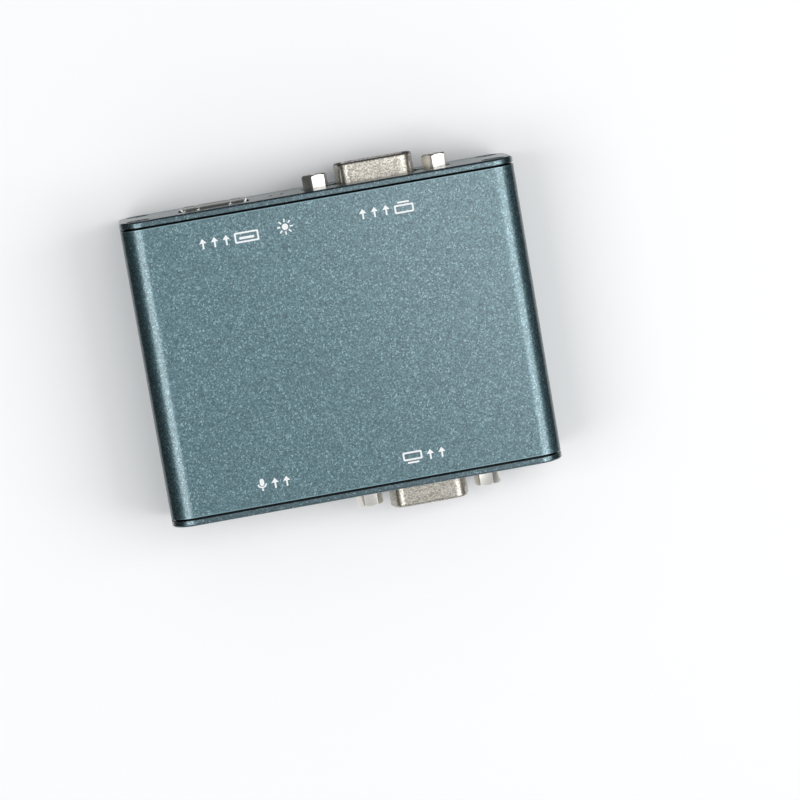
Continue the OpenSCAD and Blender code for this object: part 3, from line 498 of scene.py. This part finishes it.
def grow(tree, name, places, values, replaced=()):
    """Runs a tree on a set of places and keeps the result as a plain mesh piece."""
    seed = bpy.data.meshes.new(name + "_places")
    seed.from_pydata(places, [], [])
    host = bpy.data.objects.new(name + "_host", seed)
    bpy.context.scene.collection.objects.link(host)
    modifier = host.modifiers.new(name, "NODES")
    modifier.node_group = tree
    for item in tree.interface.items_tree:
        if item.in_out == "INPUT" and item.name in values:
            modifier[item.identifier] = values[item.name]
    mesh = bpy.data.meshes.new_from_object(host.evaluated_get(bpy.context.evaluated_depsgraph_get()))
    host.modifiers.remove(modifier)
    bpy.data.objects.remove(host)
    mesh.name = name
    add_piece(mesh, name, replaced)


SCREWS = screw_tree()
for end, plate, facing in ((1, "rear_plate", -90), (-1, "front_plate", 90)):
    low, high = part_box(plate)
    face = high.y - SCREW_SINK if end > 0 else low.y + SCREW_SINK
    places = [(x, face, z) for x in (low.x + SCREW_INSET, high.x - SCREW_INSET)
              for z in (low.z + SCREW_INSET, high.z - SCREW_INSET)]
    values = {**SCREW_SIZES, "Turn": (math.radians(facing), 0.0, 0.0)}
    grow(SCREWS, plate + "_driven_screws", places, values, [plate + "_screws"])


# Video ports: at each end a drawn steel shell with a rounded rim, nickel plated, over a blue moulded
# insulator that holds fifteen gilt sockets in three rows. A tinned bracket clamps the stack to the board.
drawn_nickel = grained("drawn_nickel", (0.215, 0.202, 0.174, 1), (0.760, 0.723, 0.647, 1), dimple=0.24 * MM,
                       rough=(0.42, 0.32), bump=0.08, clouding=0.2)
moulded_blue = grained("moulded_blue", (0.012, 0.050, 0.300, 1), (0.024, 0.085, 0.420, 1), dimple=0.2 * MM,
                       rough=(0.52, 0.4), bump=0.12, metallic=0.0)
gilt = grained("gilt", (0.72, 0.50, 0.17, 1), (0.95, 0.73, 0.34, 1), dimple=0.1 * MM,
               rough=(0.34, 0.2), bump=0.06)
tinned = grained("tinned", (0.52, 0.52, 0.53, 1), (0.76, 0.76, 0.77, 1), dimple=0.16 * MM,
                 rough=(0.45, 0.28), bump=0.1, clouding=0.7)
MOULDED_BEVEL = 0.06 * MM


def dress(node, material):
    """Gives a CAD node that keeps its own mesh its finish."""
    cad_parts[node].material_slots[0].material = material


for port in ("video_out", "video_in"):
    shell = merged_mesh(port + "_shell")
    piece_from(shell, port + "_drawn_shell", drawn_nickel, [port + "_shell"])
    insulator = merged_mesh(port + "_insulator")
    bevel(insulator, sharp_edges(insulator), MOULDED_BEVEL, segments=1)
    piece_from(insulator, port + "_moulding", moulded_blue, [port + "_insulator"])
    dress(port + "_contacts", gilt)
    dress(port + "_bracket", tinned)


# Jackscrews: four turned hexagons, bright nickel plated, that screw through the port flanges.
# Each has a tapped hole for a plug's thumbscrew, with its thread showing inside.
HEX_BEVEL = 0.09 * MM
THREAD = {"Thread radius": 1.2 * MM, "Thread depth": 0.13 * MM, "Pitch": 0.635 * MM, "Turns": 6.5}
THREAD_STEPS = 28
THREAD_LIP = 0.35 * MM
HEX_CORNER_ABOVE = math.radians(25)
JACK_HALF_PITCH = 24.99 / 2 * MM
turned_nickel = grained("turned_nickel", (0.74, 0.71, 0.65, 1), (0.96, 0.94, 0.90, 1), dimple=0.14 * MM,
                        rough=(0.36, 0.27), bump=0.05, clouding=0.7)


def thread_tree():
    """A three-sided ridge wound down each tapped hole."""
    tree, given, result = geometry_group("tapped thread", {**THREAD, "Turn": (0.0, 0.0, 0.0)})
    size = given.outputs
    link = tree.links.new
    path = add_node(tree, "GeometryNodeCurveSpiral", Resolution=THREAD_STEPS)
    link(size["Turns"], path.inputs["Rotations"])
    link(size["Thread radius"], path.inputs["Start Radius"])
    link(size["Thread radius"], path.inputs["End Radius"])
    link(math_node(tree, "MULTIPLY", size["Turns"], size["Pitch"]), path.inputs["Height"])
    ridge = add_node(tree, "GeometryNodeCurvePrimitiveCircle", Resolution=3)
    link(size["Thread depth"], ridge.inputs["Radius"])
    wound = add_node(tree, "GeometryNodeCurveToMesh")
    wound.inputs["Fill Caps"].default_value = True
    link(path.outputs[0], wound.inputs["Curve"])
    link(ridge.outputs[0], wound.inputs["Profile Curve"])
    set_out(tree, wound.outputs[0], given, result, turned_nickel)
    return tree


THREADS = thread_tree()
for end, port, facing in ((1, "video_out", 90), (-1, "video_in", -90)):
    hexagons = merged_mesh(port + "_jackscrews")
    bevel(hexagons, sharp_edges(hexagons, angle=HEX_CORNER_ABOVE), HEX_BEVEL)
    piece_from(hexagons, port + "_hexagons", turned_nickel, [port + "_jackscrews"])
    low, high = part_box(port + "_jackscrews")
    mouth = high.y if end > 0 else low.y
    middle = (low + high) / 2
    places = [(middle.x + side * JACK_HALF_PITCH, mouth - end * THREAD_LIP, middle.z) for side in (-1, 1)]
    values = {**THREAD, "Turn": (math.radians(facing), 0.0, 0.0)}
    grow(THREADS, port + "_threads", places, values)


# Data socket: a folded and nickel-plated shell with flared lips, round a black tongue
# with four gilt contacts. Its legs are soldered through the board.
FOLD_BEVEL = 0.04 * MM
LIP_ROUND = 0.11 * MM
moulded_black = grained("moulded_black", (0.010, 0.010, 0.011, 1), (0.030, 0.030, 0.032, 1),
                        dimple=0.2 * MM, rough=(0.55, 0.42), bump=0.15, metallic=0.0)
folded = merged_mesh("data_port_shell")
lip_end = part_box("data_port_shell")[1].y - TOUCH_WITHIN
mouth_edges = sharp_edges(folded, lambda edge: min(v.co.y for v in edge.verts) > lip_end)
bevel(folded, mouth_edges, LIP_ROUND, segments=3)
bevel(folded, sharp_edges(folded), FOLD_BEVEL, segments=1)
piece_from(folded, "data_port_folded_shell", turned_nickel, ["data_port_shell"])
dress("data_port_housing", moulded_black)
dress("data_port_contacts", gilt)


# Microphone jack: a black moulded body whose round nose stands in the front plate.
# Three tinned springs reach its bore from the board.
jack_body = merged_mesh("mic_jack_body")
bevel(jack_body, sharp_edges(jack_body), MOULDED_BEVEL, segments=1)
piece_from(jack_body, "mic_jack_moulding", moulded_black, ["mic_jack_body"])
dress("mic_jack_springs", tinned)


# Indicator lamp: a round lens cast in milky epoxy, behind a hole in the rear plate.
# It is held by its two tinned leads, which are soldered to the board.
milky_epoxy, epoxy_tree, epoxy = new_material("milky_epoxy")
epoxy.inputs["Base Color"].default_value = (0.86, 0.90, 0.88, 1)
epoxy.inputs["Transmission Weight"].default_value = 0.6
epoxy.inputs["IOR"].default_value = 1.52
haze = add_node(epoxy_tree, "ShaderNodeGroup", node_tree=SURFACE_GRAIN)
haze.inputs["Dimple size"].default_value = 0.6 * MM
haze.inputs["Clouding"].default_value = 1.0
haze_gloss = add_node(epoxy_tree, "ShaderNodeMapRange", To_Min=0.12, To_Max=0.3)
epoxy_tree.links.new(haze.outputs["Tone"], haze_gloss.inputs["Value"])
epoxy_tree.links.new(haze_gloss.outputs["Result"], epoxy.inputs["Roughness"])
piece_from(merged_mesh("lamp_lens"), "lamp_epoxy_lens", milky_epoxy, ["lamp_lens"])
dress("lamp_leads", tinned)


# Circuit board: glass-fibre laminate under green solder mask, with copper tracks showing through the mask
# as paler lines. It slides into the sleeve's slots with its parts hanging below it.
TRACK_STEP = 1.6 * MM
VIA_STEP = 3.2 * MM
TRACK_RELIEF = 0.03 * MM


def mask_material():
    """Solder mask over tracks that run square to each other, with small round vias."""
    material, tree, shader = new_material("solder_mask")
    place = add_node(tree, "ShaderNodeTexCoord")
    tracks = add_node(tree, "ShaderNodeTexBrick", Scale=1 / TRACK_STEP, Mortar_Size=0.05, Mortar_Smooth=0.2)
    tracks.inputs["Color1"].default_value = (0.010, 0.105, 0.045, 1)
    tracks.inputs["Color2"].default_value = (0.012, 0.120, 0.050, 1)
    tracks.inputs["Mortar"].default_value = (0.030, 0.200, 0.085, 1)
    vias = add_node(tree, "ShaderNodeTexVoronoi", feature="F1", Scale=1 / VIA_STEP)
    rim = add_node(tree, "ShaderNodeMapRange", From_Min=0.10, From_Max=0.12)
    colour = add_node(tree, "ShaderNodeMix", data_type="RGBA")
    colour.inputs["A"].default_value = (0.45, 0.40, 0.26, 1)
    relief = add_node(tree, "ShaderNodeBump", Strength=0.2, Distance=TRACK_RELIEF)
    link = tree.links.new
    link(place.outputs["Object"], tracks.inputs["Vector"])
    link(place.outputs["Object"], vias.inputs["Vector"])
    link(vias.outputs["Distance"], rim.inputs["Value"])
    link(rim.outputs["Result"], colour.inputs["Factor"])
    link(tracks.outputs["Color"], colour.inputs["B"])
    link(colour.outputs["Result"], shader.inputs["Base Color"])
    link(tracks.outputs[1], relief.inputs["Height"])
    link(relief.outputs["Normal"], shader.inputs["Normal"])
    shader.inputs["Roughness"].default_value = 0.3
    return material


dress("main_board", mask_material())


# Parts on the board: moulded chips on tinned leads, crystal and capacitor cans, ferrite inductors
# and small ceramic chip parts with tinned ends, all soldered to its lower side.
chip_epoxy = grained("chip_epoxy", (0.012, 0.012, 0.013, 1), (0.034, 0.034, 0.036, 1), dimple=0.1 * MM,
                     rough=(0.62, 0.5), bump=0.2, metallic=0.0)
drawn_can = grained("drawn_can", (0.62, 0.63, 0.64, 1), (0.84, 0.85, 0.86, 1), dimple=0.2 * MM,
                    rough=(0.4, 0.25), bump=0.06, clouding=0.8)
ferrite = grained("ferrite", (0.030, 0.030, 0.032, 1), (0.075, 0.075, 0.078, 1), dimple=0.12 * MM,
                  rough=(0.7, 0.55), bump=0.3, metallic=0.0)
ceramic = grained("ceramic", (0.26, 0.17, 0.10, 1), (0.42, 0.30, 0.19, 1), dimple=0.1 * MM,
                  rough=(0.6, 0.45), bump=0.2, metallic=0.0)
for nodes, material in (
    (("video_chip", "data_chip", "memory_chip", "regulators"), chip_epoxy),
    (("video_chip_leads", "memory_chip_leads", "regulator_leads"), tinned),
    (("crystals", "capacitor_cans"), drawn_can),
    (("capacitor_bases",), moulded_black),
    (("inductors",), ferrite),
    (("chip_passives",), ceramic),
):
    for node in nodes:
        dress(node, material)


# Studio: a pale table top in even light, with a soft box on each side and one overhead. Dark folded cards
# round the object, which only its reflections show, give the edges their dark lines.
CAMERA_AT = Vector((-38.75, 77.14, 786.8)) * MM
CAMERA_AIM = Vector((9.39, -13.46, 22)) * MM
CAMERA_TURN = math.radians(9.686)
CAMERA_LENS = 170
SENSOR_W = 36
TABLE_HALF = 4000
TABLE_DROP = -0.05
SOFT_BOXES = (
    ("right_box", (0.535, -0.04, 0.60), (0.56, 0.5), 2.5),
    ("left_box", (-0.447, -0.04, 0.663), (0.46, 0.5), 2.1),
    ("overhead_box", (0.24, 0.14, 0.95), (0.5, 0.5), 1.35),
)
CARD_HALF = 200
CARD_LIFT = 0.2
CARDS = (
    ("left_card", (-1, 0), 60, 250, 200),
    ("right_card", (1, 0), 66, 300, 145),
    ("rear_card", (0, 1), 38, 260, 100),
)


def sheet(name, corners, faces, material):
    """A flat or folded sheet of the studio, not part of the object."""
    mesh = bpy.data.meshes.new(name)
    mesh.from_pydata([Vector(corner) * MM for corner in corners], [], faces)
    mesh.materials.append(material)
    flat = bpy.data.objects.new(name, mesh)
    bpy.context.scene.collection.objects.link(flat)
    return flat


table_white, _, table_shader = new_material("table_white")
table_shader.inputs["Base Color"].default_value = (0.94, 0.94, 0.94, 1)
table_shader.inputs["Roughness"].default_value = 0.9
table_shader.inputs["Specular IOR Level"].default_value = 0
table_corners = [(x * TABLE_HALF, y * TABLE_HALF, TABLE_DROP)
                 for x, y in ((-1, -1), (1, -1), (1, 1), (-1, 1))]
sheet("table_top", table_corners, [(0, 1, 2, 3)], table_white)
card_black, _, card_shader = new_material("card_black")
card_shader.inputs["Base Color"].default_value = (0.012, 0.012, 0.012, 1)
card_shader.inputs["Roughness"].default_value = 0.9
for name, (out_x, out_y), near, far, height in CARDS:
    corners = [(out_x * reach - out_y * along, out_y * reach + out_x * along, z)
               for reach, along, z in ((near, CARD_HALF, CARD_LIFT), (near, -CARD_HALF, CARD_LIFT),
                                       (far, -CARD_HALF, CARD_LIFT), (far, CARD_HALF, CARD_LIFT),
                                       (far, CARD_HALF, height), (far, -CARD_HALF, height))]
    card = sheet(name, corners, [(0, 1, 2, 3), (3, 2, 5, 4)], card_black)
    card.visible_camera = False
    card.visible_diffuse = False
    card.visible_transmission = False
    card.visible_shadow = False

for name, at, (width, height), power in SOFT_BOXES:
    lamp = bpy.data.lights.new(name, "AREA")
    lamp.shape = "RECTANGLE"
    lamp.size = width
    lamp.size_y = height
    lamp.energy = power
    holder = bpy.data.objects.new(name, lamp)
    holder.location = at
    holder.rotation_euler = (-Vector(at)).to_track_quat("-Z", "Y").to_euler()
    bpy.context.scene.collection.objects.link(holder)

world = bpy.data.worlds.new("studio")
world.use_nodes = True
world.node_tree.nodes["Background"].inputs["Color"].default_value = (0.95, 0.97, 1, 1)
world.node_tree.nodes["Background"].inputs["Strength"].default_value = 0.45
bpy.context.scene.world = world

camera = bpy.data.objects.new("camera", bpy.data.cameras.new("camera"))
camera.data.lens = CAMERA_LENS
camera.data.sensor_width = SENSOR_W
forward = (CAMERA_AIM - CAMERA_AT).normalized()
side = forward.cross(Vector((math.sin(CAMERA_TURN), math.cos(CAMERA_TURN), 0))).normalized()
upward = side.cross(forward)
camera.matrix_world = Matrix.Translation(CAMERA_AT) @ Matrix((side, upward, -forward)).transposed().to_4x4()
bpy.context.scene.collection.objects.link(camera)
bpy.context.scene.camera = camera
bpy.context.scene.view_settings.view_transform = "Standard"
